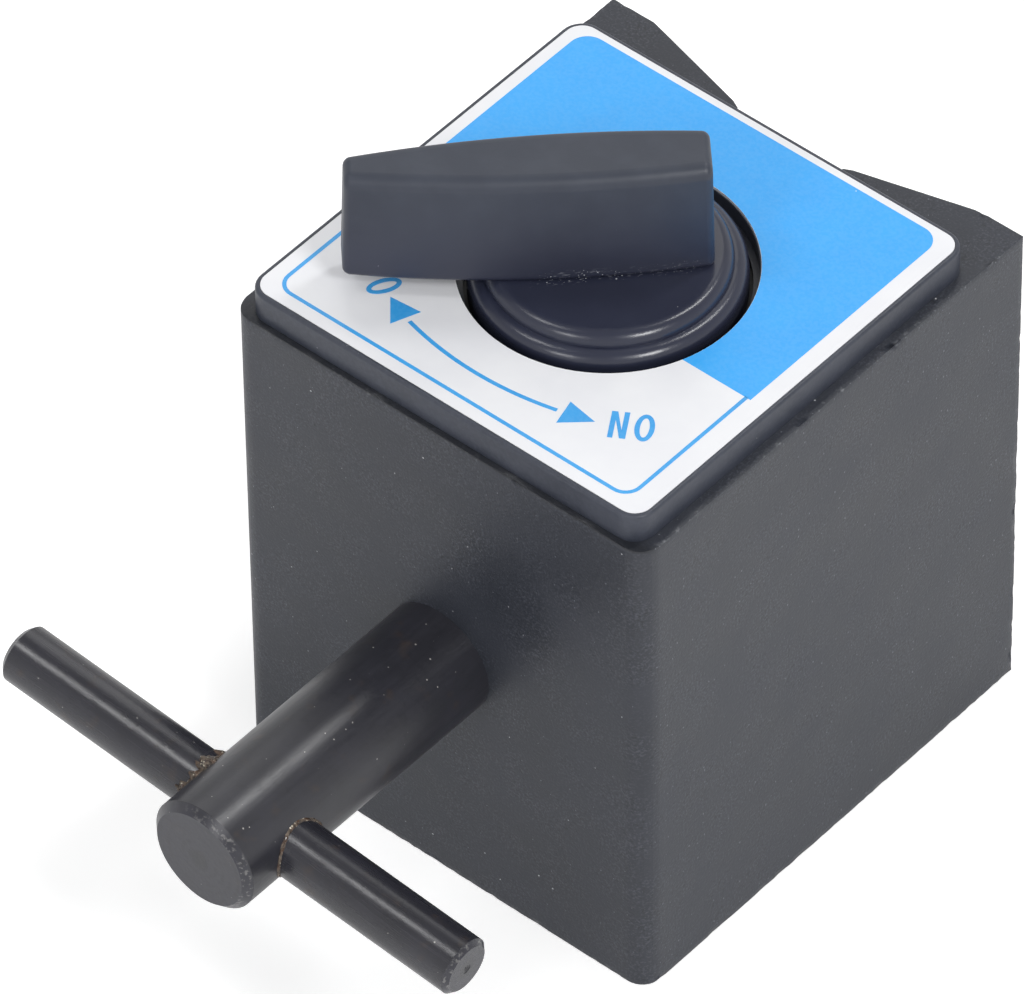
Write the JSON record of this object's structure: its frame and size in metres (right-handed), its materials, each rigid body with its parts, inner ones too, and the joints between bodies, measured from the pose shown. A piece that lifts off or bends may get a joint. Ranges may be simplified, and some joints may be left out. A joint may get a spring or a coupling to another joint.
{
  "type": "switchable magnetic base",
  "caption": "Switchable magnetic base: iron block with a V-grooved working face, a knob that turns its magnet rotor, and a T-shaped post.",
  "frame": {"origin": "on the knob's axis, in the plane of the rear end face that the base stands on", "axes": "+Z along the knob's axis towards the knob, -Y along the T post, +Y out of the V-grooved working face"},
  "size_m": [0.0552, 0.0884, 0.0761],
  "materials": {
    "paint": "dark grey spray paint, fine texture",
    "cover_plastic": "moulded, satin",
    "label": "printed sheet, satin",
    "knob_plastic": "moulded, semi-gloss",
    "black_steel": "black oxide, oiled",
    "bead": "brown adhesive bead",
    "zinc_steel": "zinc plated",
    "aluminium": "turned",
    "bronze": "sintered",
    "brass": "turned",
    "soft_iron": "ground",
    "magnet": "sintered, dark"
  },
  "bodies": {
    "base": {"pole_left": "paint", "pole_right": "paint", "post_strip": "paint", "groove_strip": "paint", "front_cover": "cover_plastic", "front_label": "label", "cover_screws": "zinc_steel", "front_disc": "aluminium", "front_bush": "bronze", "rear_plate": "aluminium", "rear_bush": "bronze", "rear_screws": "zinc_steel", "tee_post": "black_steel", "cross_pin": "black_steel", "pin_beads": "bead"},
    "rotor": {"rotor_magnets": "magnet", "rotor_pole_front": "soft_iron", "rotor_pole_back": "soft_iron", "rotor_rear_flange": "brass", "rotor_front_flange": "brass", "rotor_rivets": "brass", "stop_pin": "zinc_steel", "thrust_washer": "bronze", "knob": "knob_plastic", "knob_pin": "zinc_steel"}
  },
  "joints": [
    {"name": "knob_turn", "type": "hinge", "parent": "base", "child": "rotor", "pos_m": [0, 0, 0.0617], "axis": [0, 0, 1], "range_deg": [0, 90]}
  ]
}
